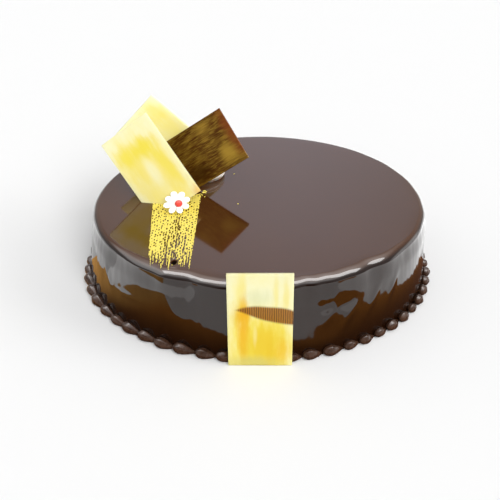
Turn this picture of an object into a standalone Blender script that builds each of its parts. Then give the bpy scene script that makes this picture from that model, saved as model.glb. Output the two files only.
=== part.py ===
"""Round chocolate cake under a mirror glaze, in metres, +Z up.

The origin is the centre of the flat base and the front of the cake faces -Y. A rope of piped
teardrops runs round the foot. One pale chocolate plaque leans on the front of the rim, and on
the top two pale plaques and a dark one stand in the glaze on their corners, with a dollop of
cream behind them and a sugar daisy at their foot. Pieces that touch keep a small gap.
"""
import math
import random

import bmesh
import bpy
from mathutils import Euler, Matrix, Vector

MM = 0.001
GAP = 0.3 * MM

# The cake: a low round that widens a little towards its foot, with a rounded rim.
CAKE_HEIGHT = 46.6 * MM
CAKE_RADIUS = 102.3 * MM
FOOT_RADIUS = 104.6 * MM
RIM_ROUND = 4.0 * MM
RIM_STEPS = 5
CAKE_STEPS = 96

# The piped rope: teardrops, each with its round head to the left of its tail seen from outside.
# It is piped against the cake, so a section's middle stands only this share of its radius off
# the wall, and the larger share above the board.
BEAD_COUNT = 58
BEAD_HEAD = 3.45 * MM
BEAD_NECK = 1.5 * MM
BEAD_HEAD_SKEW = 0.6
BEAD_SECTIONS = 6
BEAD_ARC_POINTS = 7
BEAD_OFF_WALL = 0.1
BEAD_OFF_BOARD = 0.75
BEAD_SWELL = 0.09
BEAD_SWELL_AT = math.radians(215.0)
BEAD_UNEVEN = 0.08
BEAD_START = math.radians(-127.5)
BEAD_SEED = 11
ROPE_CREASE = math.radians(60.0)

# The chocolate plaques are cut from sheets to one size; the front one widens a little upwards.
PLAQUE_WIDTH = 35.2 * MM
PLAQUE_LENGTH = 57.5 * MM
PLAQUE_THICKNESS = 2.0 * MM
PLAQUE_EDGE = 0.25 * MM
FRONT_FOOT_WIDTH = 34.8 * MM
FRONT_TOP_WIDTH = 35.9 * MM
FRONT_LENGTH = 56.2 * MM
FRONT_X = 0.6 * MM
FRONT_BACK_Y = -106.3 * MM
# It is pressed into the rope, so its slot there opens forwards to this many times its depth.
FRONT_PRESS = 3.0

# Plaques on top: centre over the glaze, then roll in their own plane, lean back and turn.
LEFT_CENTRE = Vector((-65.7, 2.8, 20.4)) * MM
LEFT_ANGLES = (-38.9, -17.0, -11.2)
BACK_CENTRE = Vector((-58.4, 42.2, 19.6)) * MM
BACK_ANGLES = (-47.1, -1.8, 2.5)
DARK_CENTRE = Vector((-38.7, 19.5, 20.8)) * MM
DARK_ANGLES = (54.0, -14.8, -14.4)

# The dollop of cream behind the dark plaque.
CREAM_X = -36.0 * MM
CREAM_Y = 37.0 * MM
CREAM_RADIUS = 14.0 * MM
CREAM_FOOT = 12.6 * MM
CREAM_HEIGHT = 11.0 * MM
CREAM_WIDEST_AT = 0.18
CREAM_FULLNESS = 0.85
CREAM_STEPS = 32
CREAM_PROFILE_STEPS = 8

# The sugar daisy leans on the left plaque; its button stands on its face.
DAISY_RADIUS = 8.7 * MM
DAISY_NOTCH = 4.2 * MM
DAISY_PETALS = 8
PETAL_FULLNESS = 0.6
DAISY_THICKNESS = 1.6 * MM
DAISY_TILT = math.radians(31.0)
DAISY_SPIN = math.radians(19.0)
DAISY_X = -49.3 * MM
DAISY_POINTS_PER_PETAL = 8
BUTTON_RADIUS = 2.3 * MM
BUTTON_HEIGHT = 1.3 * MM
BUTTON_OFFSET = (1.2 * MM, -0.9 * MM)
BUTTON_STEPS = 24
BUTTON_PROFILE_STEPS = 5


def clear_scene():
    for old in list(bpy.data.objects):
        bpy.data.objects.remove(old, do_unlink=True)


def new_collection(name):
    collection = bpy.data.collections.new(name)
    bpy.context.scene.collection.children.link(collection)
    return collection


def new_material(name, colour, roughness, metallic=0.0):
    material = bpy.data.materials.new(name)
    material.use_nodes = True
    shader = material.node_tree.nodes["Principled BSDF"]
    shader.inputs["Base Color"].default_value = (*colour, 1.0)
    shader.inputs["Roughness"].default_value = roughness
    shader.inputs["Metallic"].default_value = metallic
    return material


def add_object(name, data, collection, material=None):
    piece = bpy.data.objects.new(name, data)
    collection.objects.link(piece)
    if material:
        data.materials.append(material)
    return piece


def add_cutter(name, mesh, collection):
    cutter = add_object(name, mesh, collection)
    cutter.hide_render = True
    cutter.display_type = "WIRE"
    return cutter


def cut(piece, cutter):
    modifier = piece.modifiers.new("cut_" + cutter.name, "BOOLEAN")
    modifier.operation = "DIFFERENCE"
    modifier.solver = "EXACT"
    modifier.object = cutter


def turned_object(name, profile, steps, collection, material):
    """A solid turned about Z from a profile of (radius, height), top to bottom."""
    mesh = bpy.data.meshes.new(name)
    points = [(radius, 0.0, height) for radius, height in profile]
    edges = [(i, i + 1) for i in range(len(points) - 1)]
    mesh.from_pydata(points, edges, [])
    piece = add_object(name, mesh, collection, material)
    screw = piece.modifiers.new("turn", "SCREW")
    screw.axis = "Z"
    screw.angle = math.tau
    screw.steps = steps
    screw.render_steps = steps
    screw.use_merge_vertices = True
    screw.merge_threshold = 0.01 * MM
    screw.use_smooth_shade = True
    return piece


def cake_profile():
    """Half section of the cake from the middle of its top to the middle of its base."""
    shoulder = CAKE_HEIGHT - RIM_ROUND
    profile = [(0.0, CAKE_HEIGHT)]
    for i in range(RIM_STEPS + 1):
        angle = 0.5 * math.pi * (1.0 - i / RIM_STEPS)
        radius = CAKE_RADIUS - RIM_ROUND + RIM_ROUND * math.cos(angle)
        profile.append((radius, shoulder + RIM_ROUND * math.sin(angle)))
    profile.append((FOOT_RADIUS, 0.0))
    profile.append((0.0, 0.0))
    return profile


def plate_mesh(name, foot_width, top_width, length, thickness, grow=0.0):
    """An upright plate in its own XZ plane, centred, with its four sides cut straight."""
    mesh = bpy.data.meshes.new(name)
    bm = bmesh.new()
    bmesh.ops.create_cube(bm, size=1.0)
    for vertex in bm.verts:
        width = top_width if vertex.co.z > 0.0 else foot_width
        vertex.co.x *= width + 2.0 * grow
        vertex.co.y *= thickness + 2.0 * grow
        vertex.co.z *= length + 2.0 * grow
    bm.to_mesh(mesh)
    bm.free()
    return mesh


def place_plate(piece, centre, angles):
    roll, lean, turn = (math.radians(angle) for angle in angles)
    piece.rotation_mode = "YXZ"
    piece.location = centre
    piece.rotation_euler = Euler((lean, roll, turn), "YXZ")


def front_plaque_pose():
    """Lean that brings the back of the front plaque against the rounded rim, and its centre."""
    reach = CAKE_RADIUS - RIM_ROUND + FRONT_BACK_Y
    rise = CAKE_HEIGHT - RIM_ROUND
    span = math.hypot(reach, rise)
    lean = math.acos((RIM_ROUND + GAP) / span) - math.atan2(rise, -reach)
    up = Vector((0.0, math.sin(lean), math.cos(lean)))
    outward = Vector((0.0, -math.cos(lean), math.sin(lean)))
    foot = Vector((FRONT_X, FRONT_BACK_Y, 0.0))
    centre = foot + up * (0.5 * FRONT_LENGTH) + outward * (0.5 * PLAQUE_THICKNESS)
    return centre, (0.0, -math.degrees(lean), 0.0)


def bead_sizes():
    """Size of each teardrop: larger at the left front, smaller at the right, and uneven."""
    uneven = random.Random(BEAD_SEED)
    sizes = []
    for k in range(BEAD_COUNT):
        angle = BEAD_START + math.tau * k / BEAD_COUNT
        swell = BEAD_SWELL * math.cos(angle - BEAD_SWELL_AT)
        sizes.append(1.0 + swell + uneven.uniform(-BEAD_UNEVEN, BEAD_UNEVEN))
    return sizes


def bead_section(radius):
    """Section of the rope: a round that is flat on the board and flat against the cake."""
    inner = FOOT_RADIUS + GAP
    centre_r = inner + BEAD_OFF_WALL * radius
    centre_z = BEAD_OFF_BOARD * radius
    start = -math.asin(BEAD_OFF_BOARD)
    end = math.pi - math.acos(BEAD_OFF_WALL)
    section = [(inner, 0.0)]
    for i in range(BEAD_ARC_POINTS):
        angle = start + (end - start) * i / (BEAD_ARC_POINTS - 1)
        section.append((centre_r + radius * math.cos(angle), centre_z + radius * math.sin(angle)))
    section[1] = (section[1][0], 0.0)
    section[-1] = (inner, section[-1][1])
    return section


def border_mesh(name):
    """The rope, lofted through sections that swell into each head and taper down each tail."""
    sizes = bead_sizes()
    scale = math.tau / sum(sizes)
    bm = bmesh.new()
    rings = []
    angle = BEAD_START
    for size in sizes:
        for i in range(BEAD_SECTIONS):
            along = i / BEAD_SECTIONS
            swell = math.sin(math.pi * along ** BEAD_HEAD_SKEW)
            radius = BEAD_NECK + (BEAD_HEAD * size - BEAD_NECK) * swell
            theta = angle + along * size * scale
            ring = []
            for r, z in bead_section(radius):
                ring.append(bm.verts.new((r * math.cos(theta), r * math.sin(theta), z)))
            rings.append(ring)
        angle += size * scale
    for ring, following in zip(rings, rings[1:] + rings[:1]):
        for j in range(len(ring)):
            k = (j + 1) % len(ring)
            bm.faces.new((ring[j], following[j], following[k], ring[k]))
    bmesh.ops.recalc_face_normals(bm, faces=bm.faces)
    mesh = bpy.data.meshes.new(name)
    bm.to_mesh(mesh)
    bm.free()
    mesh.shade_smooth()
    mesh.set_sharp_from_angle(angle=ROPE_CREASE)
    return mesh


def cream_profile():
    """A soft mound: its side bulges over its foot and its top is nearly flat."""
    profile = []
    for i in range(CREAM_PROFILE_STEPS + 1):
        angle = 0.5 * math.pi * (1.0 - i / CREAM_PROFILE_STEPS)
        radius = CREAM_RADIUS * math.cos(angle) ** CREAM_FULLNESS
        share = CREAM_WIDEST_AT + (1.0 - CREAM_WIDEST_AT) * math.sin(angle)
        profile.append((radius, CREAM_HEIGHT * share))
    profile[0] = (0.0, CREAM_HEIGHT)
    profile.append((CREAM_FOOT, 0.0))
    profile.append((0.0, 0.0))
    return profile


def daisy_curve(name):
    """Flat outline of the daisy: round-ended petals with notches between them."""
    curve = bpy.data.curves.new(name, "CURVE")
    curve.dimensions = "2D"
    curve.fill_mode = "BOTH"
    curve.extrude = 0.5 * DAISY_THICKNESS
    count = DAISY_PETALS * DAISY_POINTS_PER_PETAL
    spline = curve.splines.new("POLY")
    spline.points.add(count - 1)
    spline.use_cyclic_u = True
    for i, point in enumerate(spline.points):
        angle = DAISY_SPIN + math.tau * i / count
        lobe = abs(math.cos(0.5 * DAISY_PETALS * (angle - DAISY_SPIN)))
        petal = lobe ** PETAL_FULLNESS
        radius = DAISY_NOTCH + (DAISY_RADIUS - DAISY_NOTCH) * petal
        point.co = (radius * math.cos(angle), radius * math.sin(angle), 0.0, 1.0)
    return curve


def daisy_stand(collection, plaque):
    """Empty at the middle of the daisy's back, so that its rim just clears plaque and glaze."""
    face = plaque.rotation_euler.to_matrix() @ Vector((0.0, 1.0, 0.0))
    tilt = Matrix.Rotation(DAISY_TILT, 3, "X")
    normal = tilt @ Vector((0.0, 0.0, 1.0))
    reach = DAISY_RADIUS * (face - normal * face.dot(normal)).length
    centre_z = CAKE_HEIGHT + GAP + DAISY_RADIUS * math.sin(DAISY_TILT)
    limit = face.dot(plaque.location) - 0.5 * PLAQUE_THICKNESS - GAP - reach
    centre_y = (limit - face.x * DAISY_X - face.z * centre_z) / face.y
    stand = bpy.data.objects.new("daisy_stand", None)
    stand.location = (DAISY_X, centre_y, centre_z)
    stand.rotation_euler = (DAISY_TILT, 0.0, 0.0)
    collection.objects.link(stand)
    return stand


def button_profile():
    profile = []
    for i in range(BUTTON_PROFILE_STEPS + 1):
        angle = 0.5 * math.pi * (1.0 - i / BUTTON_PROFILE_STEPS)
        profile.append((BUTTON_RADIUS * math.cos(angle), BUTTON_HEIGHT * math.sin(angle)))
    profile[0] = (0.0, BUTTON_HEIGHT)
    profile.append((0.0, 0.0))
    return profile


def make_plaque(name, size, pose, collections, material):
    """A plaque and, as a cutter, the slightly larger slot that it stands in."""
    parts, cutters = collections
    mesh = plate_mesh(name, *size, PLAQUE_THICKNESS)
    plaque = add_object(name, mesh, parts, material)
    place_plate(plaque, *pose)
    bevel = plaque.modifiers.new("edge", "BEVEL")
    bevel.width = PLAQUE_EDGE
    bevel.segments = 1
    slot_mesh = plate_mesh(name + "_slot", *size, PLAQUE_THICKNESS, GAP)
    slot = add_cutter(name + "_slot", slot_mesh, cutters)
    place_plate(slot, *pose)
    return plaque, slot


def build():
    clear_scene()
    parts = new_collection("glazed_chocolate_cake")
    cutters = new_collection("cutters")
    glaze = new_material("dark_glaze", (0.030, 0.014, 0.010), 0.08)
    piped = new_material("piped_chocolate", (0.060, 0.030, 0.022), 0.35)
    pale = new_material("pale_chocolate", (0.900, 0.780, 0.360), 0.35)
    dark = new_material("gilded_dark_chocolate", (0.110, 0.055, 0.015), 0.35, 0.2)
    white = new_material("cream", (0.780, 0.640, 0.560), 0.45)
    sugar = new_material("white_sugar", (0.900, 0.890, 0.860), 0.5)
    red = new_material("red_sugar", (0.700, 0.060, 0.045), 0.4)

    top = Vector((0.0, 0.0, CAKE_HEIGHT))
    plain_size = (PLAQUE_WIDTH, PLAQUE_WIDTH, PLAQUE_LENGTH)
    front_size = (FRONT_FOOT_WIDTH, FRONT_TOP_WIDTH, FRONT_LENGTH)
    folders = (parts, cutters)
    left, left_slot = make_plaque(
        "left_plaque", plain_size, (top + LEFT_CENTRE, LEFT_ANGLES), folders, pale)
    _, back_slot = make_plaque(
        "back_plaque", plain_size, (top + BACK_CENTRE, BACK_ANGLES), folders, pale)
    _, dark_slot = make_plaque(
        "dark_plaque", plain_size, (top + DARK_CENTRE, DARK_ANGLES), folders, dark)
    _, front_slot = make_plaque(
        "front_plaque", front_size, front_plaque_pose(), folders, pale)

    cake = turned_object("cake", cake_profile(), CAKE_STEPS, parts, glaze)
    for slot in (left_slot, back_slot, dark_slot):
        cut(cake, slot)

    front_slot.scale.y = FRONT_PRESS
    shift = Vector((0.0, -0.5 * (FRONT_PRESS - 1.0) * (PLAQUE_THICKNESS + 2.0 * GAP), 0.0))
    front_slot.location += front_slot.rotation_euler.to_matrix() @ shift
    border = add_object("piped_border", border_mesh("piped_border"), parts, piped)
    cut(border, front_slot)

    cream = turned_object("cream_dollop", cream_profile(), CREAM_STEPS, parts, white)
    cream.location = (CREAM_X, CREAM_Y, CAKE_HEIGHT + GAP)
    cut(cream, back_slot)

    stand = daisy_stand(parts, left)
    daisy = add_object("daisy", daisy_curve("daisy"), parts, sugar)
    daisy.parent = stand
    daisy.location = (0.0, 0.0, 0.5 * DAISY_THICKNESS)
    button = turned_object("daisy_button", button_profile(), BUTTON_STEPS, parts, red)
    button.parent = stand
    button.location = (*BUTTON_OFFSET, DAISY_THICKNESS + GAP)
    bpy.context.view_layer.update()


build()
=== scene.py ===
"""Looks of the round chocolate cake: mirror glaze, piped rope, painted plaques, cream and daisy."""
import math
import random

import bmesh
import bpy
from mathutils import Euler, Matrix, Vector, noise


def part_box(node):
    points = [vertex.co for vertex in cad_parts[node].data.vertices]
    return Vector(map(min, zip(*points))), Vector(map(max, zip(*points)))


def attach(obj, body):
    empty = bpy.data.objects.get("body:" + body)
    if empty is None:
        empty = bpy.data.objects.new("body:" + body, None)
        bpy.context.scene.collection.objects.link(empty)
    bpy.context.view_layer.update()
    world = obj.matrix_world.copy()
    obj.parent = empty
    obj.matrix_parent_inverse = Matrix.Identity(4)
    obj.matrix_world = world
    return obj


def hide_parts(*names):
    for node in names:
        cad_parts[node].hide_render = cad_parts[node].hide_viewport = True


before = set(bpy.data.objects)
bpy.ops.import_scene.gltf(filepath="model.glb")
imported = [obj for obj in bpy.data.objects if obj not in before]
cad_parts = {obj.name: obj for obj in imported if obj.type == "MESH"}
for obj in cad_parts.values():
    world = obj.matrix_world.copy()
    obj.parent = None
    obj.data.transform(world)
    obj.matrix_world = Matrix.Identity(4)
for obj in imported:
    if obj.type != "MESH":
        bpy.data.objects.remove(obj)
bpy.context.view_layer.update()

MM = 0.001


# ----------------------------------------------------------------------
# The cake under its mirror glaze. A chilled round is set on a rack and warm dark glaze is poured
# over it: the top levels itself, the rim rounds over, and the side keeps soft runs and ripples.
# The round is turned from its half section, then the runs and one small pit are pushed into it.
CAKE_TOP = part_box("cake")[1][2]
FOOT_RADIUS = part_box("cake")[1][0]
SHOULDER_RADIUS = 102.3 * MM
RIM_ROUND = 4.0 * MM
RIM_REACH = 7.5 * MM
RIM_FADE = 22.0 * MM
RIM_STEPS = 24
# Angles in degrees over which the rim, rolled wide in front, opens out and draws in again.
WIDE_RIM_OPENS = (-146.0, -128.0)
WIDE_RIM_CLOSES = (-50.0, -26.0)
TOP_STEPS = 18
SIDE_STEPS = 62
CAKE_TURN_STEPS = 760
TURN_SECTORS = 8
SIDE_PINCH = 1.0 * MM
FOOT_SHIFT = -0.8 * MM
TOP_WAVE = 0.035 * MM
TOP_WAVE_LENGTH = 42.0 * MM
RIM_WAVE = 0.30 * MM
RIM_WAVE_LENGTH = 15.0 * MM
RIPPLE_DEPTH = 0.10 * MM
RIPPLE_WIDTH = 3.6 * MM
RIPPLE_LENGTH = 16.0 * MM
BACK_RUN_DEPTH = 0.55 * MM
BACK_RUN_WIDTH = 14.0 * MM
BACK_RUN_LENGTH = 17.0 * MM
# Where the rim stands in or out: angle and half width in degrees, distance in millimetres.
RIM_SHIFTS = (
    (-133.0, 5.0, 0.25),
    (-121.5, 2.6, 0.80),
    (-112.5, 4.2, -1.80),
    (-101.5, 3.6, 0.60),
    (-75.5, 2.4, -1.20),
    (-69.5, 2.4, -0.60),
    (-61.5, 4.0, -0.60),
    (-52.0, 4.5, -1.60),
    (-45.0, 3.0, 0.15),
    (-36.0, 4.0, -0.35),
)
# Each run, in degrees and millimetres: angle round the cake, height, how far it stands out, half
# width, half length, lean.
GLAZE_RUNS = (
    (-117.8, 24.0, 1.15, 8.0, 15.0, 0.0),
    (-124.0, 39.0, -0.36, 12.0, 4.0, 0.0),
    (-141.0, 15.0, 0.22, 10.0, 7.0, 0.0),
    (-136.8, 22.0, 0.20, 11.0, 2.0, -6.0),
    (-147.5, 24.0, 0.32, 3.0, 10.0, -25.0),
    (-69.0, 29.0, -0.75, 22.0, 4.8, 0.0),
    (-71.5, 4.0, 1.00, 18.5, 8.5, 0.0),
    (-60.5, 22.0, 0.45, 2.8, 11.0, 34.0),
    (-67.5, 25.0, 0.40, 2.8, 7.0, 34.0),
    (-51.2, 26.0, 0.50, 2.2, 9.0, 32.0),
    (-42.5, 27.0, 0.50, 2.4, 9.0, 28.0),
)
PIT_PLACE = Vector((-46.9, -76.6)) * MM
PIT_HALF = Vector((1.3, 2.4)) * MM
PIT_DEPTH = 3.4 * MM
PIT_PATCH = 6.5 * MM
PIT_CELL = 0.25 * MM
# Painted shade: a dark material fills the pit out to this share of its half size.
PIT_SHADE_SHARE = 1.1
# A grain is its patch size, grain size, smoothest and roughest gloss, and depth of relief.
GLAZE_GRAIN = (30.0 * MM, 6.0 * MM, 0.04, 0.08, 0.003 * MM)
SIDE_BROWNS = ((0.007, 0.0021, 0.0005), (0.012, 0.0036, 0.0010))
# Painted light: the top's browns are lighter than the side's, standing in for the strong light that falls on
# the top.
LIT_TOP_BROWNS = ((0.060, 0.0200, 0.0041), (0.074, 0.0255, 0.0056))
# Painted shade: a near black brown for the inside of the pit.
PIT_SHADE_BROWN = (0.006, 0.002, 0.001, 1.0)


def make_object(name, bm, materials):
    """Turns a bmesh into an object of the scene that sits at the origin."""
    mesh = bpy.data.meshes.new(name)
    bm.to_mesh(mesh)
    bm.free()
    for material in materials:
        mesh.materials.append(material)
    made = bpy.data.objects.new(name, mesh)
    bpy.context.scene.collection.objects.link(made)
    return made


def new_piece(name, bm, materials, replaced=()):
    """Makes a finished piece of the cake, sets it under the root body and hides the CAD parts it replaces."""
    piece = make_object(name, bm, materials)
    piece.data.shade_smooth()
    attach(piece, "root")
    if replaced:
        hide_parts(*replaced)


def smooth_share(value, low, high):
    """0 below low, 1 above high, and an even S between them."""
    share = min(max((value - low) / (high - low), 0.0), 1.0)
    return share * share * (3.0 - 2.0 * share)


def bell(distance):
    return math.exp(-distance * distance)


def turned(bm, steps):
    """Turns a half section through one sector, then repeats the sector into a closed round."""
    bmesh.ops.spin(bm, geom=bm.verts[:] + bm.edges[:], cent=(0, 0, 0), axis=(0, 0, 1), dvec=(0, 0, 0),
                   angle=math.tau / TURN_SECTORS, steps=steps // TURN_SECTORS, use_merge=False,
                   use_duplicate=False)
    sector = bm.verts[:] + bm.edges[:] + bm.faces[:]
    for k in range(1, TURN_SECTORS):
        copy = bmesh.ops.duplicate(bm, geom=sector)["geom"]
        corners = [item for item in copy if isinstance(item, bmesh.types.BMVert)]
        turn = Matrix.Rotation(math.tau * k / TURN_SECTORS, 3, "Z")
        bmesh.ops.rotate(bm, verts=corners, cent=(0, 0, 0), matrix=turn)
    bmesh.ops.remove_doubles(bm, verts=bm.verts, dist=0.002 * MM)
    bmesh.ops.recalc_face_normals(bm, faces=bm.faces)


def tightened(inward, angle):
    """Distance in from the shoulder once the rim, rolled wide in front, is drawn tight elsewhere."""
    degrees = math.degrees(angle)
    wide = smooth_share(degrees, *WIDE_RIM_OPENS) * (1.0 - smooth_share(degrees, *WIDE_RIM_CLOSES))
    squeeze = wide + (1.0 - wide) * RIM_ROUND / RIM_REACH
    if inward < RIM_REACH:
        return inward * squeeze
    stretch = (RIM_FADE - RIM_REACH * squeeze) / (RIM_FADE - RIM_REACH)
    return inward if inward > RIM_FADE else RIM_FADE - (RIM_FADE - inward) * stretch


def pit_share(x, y):
    """Distance from the middle of the pit, as a share of the pit's half width or half length."""
    return math.hypot((x - PIT_PLACE.x) / PIT_HALF.x, (y - PIT_PLACE.y) / PIT_HALF.y)


def glaze_height(x, y):
    """Height of the glaze under a point of the top: nearly level, with one small pit."""
    wave = TOP_WAVE * noise.noise(Vector((x, y, 0.0)) / TOP_WAVE_LENGTH)
    away = pit_share(x, y)
    pit = PIT_DEPTH * (0.06 * bell(away - 2.0) - bell(away * away))
    return CAKE_TOP + wave + pit


def side_swell(angle, z):
    """How far the glaze stands out from the plain side at an angle round the cake and a height."""
    swell = 0.0
    for run_angle, height, depth, half_width, half_length, lean in GLAZE_RUNS:
        around = math.remainder(angle - math.radians(run_angle), math.tau) * SHOULDER_RADIUS / MM
        up = z / MM - height
        turn = math.radians(lean)
        across = (around * math.cos(turn) - up * math.sin(turn)) / half_width
        along = (around * math.sin(turn) + up * math.cos(turn)) / half_length
        swell += depth * MM * bell(math.hypot(across, along))
    place = Vector((math.cos(angle), math.sin(angle), 0.0)) * SHOULDER_RADIUS
    back = smooth_share(math.sin(angle), -0.25, 0.15)
    run = noise.noise(place / BACK_RUN_WIDTH + Vector((0.0, 0.0, z / BACK_RUN_LENGTH)))
    ripple = noise.noise(place / RIPPLE_WIDTH + Vector((0.0, 0.0, z / RIPPLE_LENGTH + 7.0)))
    return swell + back * BACK_RUN_DEPTH * run + RIPPLE_DEPTH * ripple


def rim_shift(angle):
    """How far the rim stands out from its plain round at an angle round the cake."""
    place = Vector((math.cos(angle), math.sin(angle), 0.4)) * (SHOULDER_RADIUS / RIM_WAVE_LENGTH)
    shift = RIM_WAVE * noise.noise(place)
    for wave_angle, half_width, distance in RIM_SHIFTS:
        away = math.degrees(math.remainder(angle - math.radians(wave_angle), math.tau))
        shift += distance * MM * bell(away / half_width)
    return shift


def glazed_cake():
    """The glazed round: four corners of the half section, a bevelled rim, one full turn, then runs."""
    bm = bmesh.new()
    corners = ((0.0, CAKE_TOP), (SHOULDER_RADIUS, CAKE_TOP), (FOOT_RADIUS, 0.0), (0.0, 0.0))
    chain = [bm.verts.new((radius, 0.0, height)) for radius, height in corners]
    for pair in zip(chain, chain[1:]):
        bm.edges.new(pair)
    bmesh.ops.bevel(bm, geom=[chain[1]], offset=RIM_ROUND, offset_type="OFFSET", affect="VERTICES",
                    segments=RIM_STEPS, profile=0.5, material=-1)
    for vertex in bm.verts:
        if vertex.co.x > 0.5 * SHOULDER_RADIUS and vertex.co.z > CAKE_TOP - 1.1 * RIM_ROUND:
            inward = max(SHOULDER_RADIUS - vertex.co.x, 0.0)
            vertex.co.x = SHOULDER_RADIUS - inward * RIM_REACH / RIM_ROUND
    long_edges = [e for e in bm.edges if e.calc_length() > 2.0 * RIM_ROUND]
    top = [e for e in long_edges if min(v.co.z for v in e.verts) > 0.9 * CAKE_TOP]
    side = [e for e in long_edges if max(v.co.z for v in e.verts) > 0.5 * CAKE_TOP and e not in top]
    bmesh.ops.subdivide_edges(bm, edges=top, cuts=TOP_STEPS)
    bmesh.ops.subdivide_edges(bm, edges=side, cuts=SIDE_STEPS)
    turned(bm, CAKE_TURN_STEPS)
    for longest in (RIM_ROUND, 2.0 * PIT_CELL):
        near_pit = [f for f in bm.faces if f.calc_center_median().z > CAKE_TOP - 0.01 * MM
                    and (f.calc_center_median().xy - PIT_PLACE).length < PIT_PATCH]
        pit_edges = {e for f in near_pit for e in f.edges if e.calc_length() > longest}
        cuts = round(max(e.calc_length() for e in pit_edges) / PIT_CELL)
        bmesh.ops.subdivide_edges(bm, edges=list(pit_edges), cuts=cuts, use_grid_fill=True)
    for vertex in bm.verts:
        shape_glaze(vertex)
    # Faces in the pit take the second material, a dark brown painted as the shade inside the hole.
    for face in bm.faces:
        middle = face.calc_center_median()
        in_pit = middle.z > 0.5 * CAKE_TOP and pit_share(middle.x, middle.y) < PIT_SHADE_SHARE
        face.material_index = 1 if in_pit else 0
    return bm


def glaze_shift(angle, radius, z):
    """How far a point of the plain round moves out: runs, ripples, the slack side and the rim."""
    near_rim = smooth_share(radius, SHOULDER_RADIUS - 1.6 * RIM_ROUND, SHOULDER_RADIUS - 0.4 * RIM_ROUND)
    swell = side_swell(angle, z) * (1.0 - smooth_share(z, CAKE_TOP - 5.0 * MM, CAKE_TOP - 0.5 * MM))
    pinch = SIDE_PINCH * math.cos(angle) ** 2 * smooth_share(z, CAKE_TOP - 13.0 * MM, CAKE_TOP - 4.0 * MM)
    low_down = 1.0 - smooth_share(z, CAKE_TOP - 30.0 * MM, CAKE_TOP - 6.0 * MM)
    high_up = smooth_share(z, CAKE_TOP - 6.5 * RIM_ROUND, CAKE_TOP - 0.6 * RIM_ROUND)
    rim = rim_shift(angle) * high_up * smooth_share(radius, 0.8 * SHOULDER_RADIUS, 0.95 * SHOULDER_RADIUS)
    return (swell - pinch + FOOT_SHIFT * math.cos(angle) ** 3 * low_down) * near_rim + rim


def shape_glaze(vertex):
    """Moves one point of the plain round to where the poured glaze set."""
    x, y, z = vertex.co
    radius = math.hypot(x, y)
    if radius < 0.5 * SHOULDER_RADIUS or z < 0.001 * MM:
        if z > 0.5 * CAKE_TOP:
            vertex.co.z = glaze_height(x, y)
        return
    angle = math.atan2(y, x)
    inward = SHOULDER_RADIUS - radius
    if inward > 0.0:
        inward = tightened(inward, angle)
    out = glaze_shift(angle, SHOULDER_RADIUS - inward, z)
    scale = (SHOULDER_RADIUS - inward + out) / radius
    vertex.co.x = x * scale
    vertex.co.y = y * scale
    if z > CAKE_TOP - 0.001 * MM:
        vertex.co.z = glaze_height(x * scale, y * scale)


def glaze_surface(x, y):
    """Height of the finished glaze under a point of the top or of the wide front rim."""
    radius = math.hypot(x, y)
    source = radius - glaze_shift(math.atan2(y, x), radius, CAKE_TOP)
    roll = max(source - SHOULDER_RADIUS + RIM_REACH, 0.0) / RIM_REACH
    return glaze_height(x, y) - RIM_ROUND * (1.0 - math.sqrt(max(1.0 - roll * roll, 0.0)))


def new_material(name, **values):
    """A material with a Principled shader whose plain values are set by socket name."""
    material = bpy.data.materials.new(name)
    material.use_nodes = True
    shader = material.node_tree.nodes["Principled BSDF"]
    for socket, value in values.items():
        shader.inputs[socket.replace("_", " ")].default_value = value
    return material, material.node_tree, shader


def feed(tree, socket, given):
    """Gives an input either another node's output or a plain value."""
    if isinstance(given, bpy.types.NodeSocket):
        tree.links.new(given, socket)
    else:
        socket.default_value = given


def add_node(tree, kind, **settings):
    """Adds a node; each name is one of the node's own options or else one of its inputs."""
    node = tree.nodes.new(kind)
    for key, given in settings.items():
        if hasattr(node, key):
            setattr(node, key, given)
        else:
            feed(tree, node.inputs[key.replace("_", " ")], given)
    return node


def add_math(tree, operation, first, second, kind="ShaderNodeMath"):
    node = add_node(tree, kind, operation=operation)
    feed(tree, node.inputs[0], first)
    feed(tree, node.inputs[1], second)
    return node.outputs[0]


def add_noise(tree, place, scale, detail, roughness):
    node = add_node(tree, "ShaderNodeTexNoise", Vector=place, Scale=scale, Detail=detail, Roughness=roughness)
    return node.outputs["Fac"]


def add_mix(tree, factor, under, over):
    """Mixes two colours by a mask; a colour is either fixed or another node's output."""
    under, over = (c if isinstance(c, bpy.types.NodeSocket) else (*c, 1.0) for c in (under, over))
    node = add_node(tree, "ShaderNodeMix", data_type="RGBA", Factor=factor, A=under, B=over)
    return node.outputs["Result"]


def smooth_range(tree, value, low, high, first, last):
    """Eases from a first to a last number as a value goes from low to high."""
    node = add_node(tree, "ShaderNodeMapRange", interpolation_type="SMOOTHSTEP", Value=value,
                    From_Min=low, From_Max=high, To_Min=first, To_Max=last)
    return node.outputs["Result"]


def object_place(tree):
    """Where a point lies, from the centre of the cake's base."""
    return add_node(tree, "ShaderNodeTexCoord").outputs["Object"]


def split(tree, vector):
    """The X, Y and Z outputs of a vector."""
    return add_node(tree, "ShaderNodeSeparateXYZ", Vector=vector).outputs


def new_group(name, inputs, outputs):
    """A node group with float inputs and outputs, and its two end nodes."""
    tree = bpy.data.node_groups.new(name, "ShaderNodeTree")
    for label in inputs:
        tree.interface.new_socket(label, in_out="INPUT", socket_type="NodeSocketFloat")
    for label in outputs:
        tree.interface.new_socket(label, in_out="OUTPUT", socket_type="NodeSocketFloat")
    return tree, add_node(tree, "NodeGroupInput").outputs, add_node(tree, "NodeGroupOutput").inputs


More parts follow.
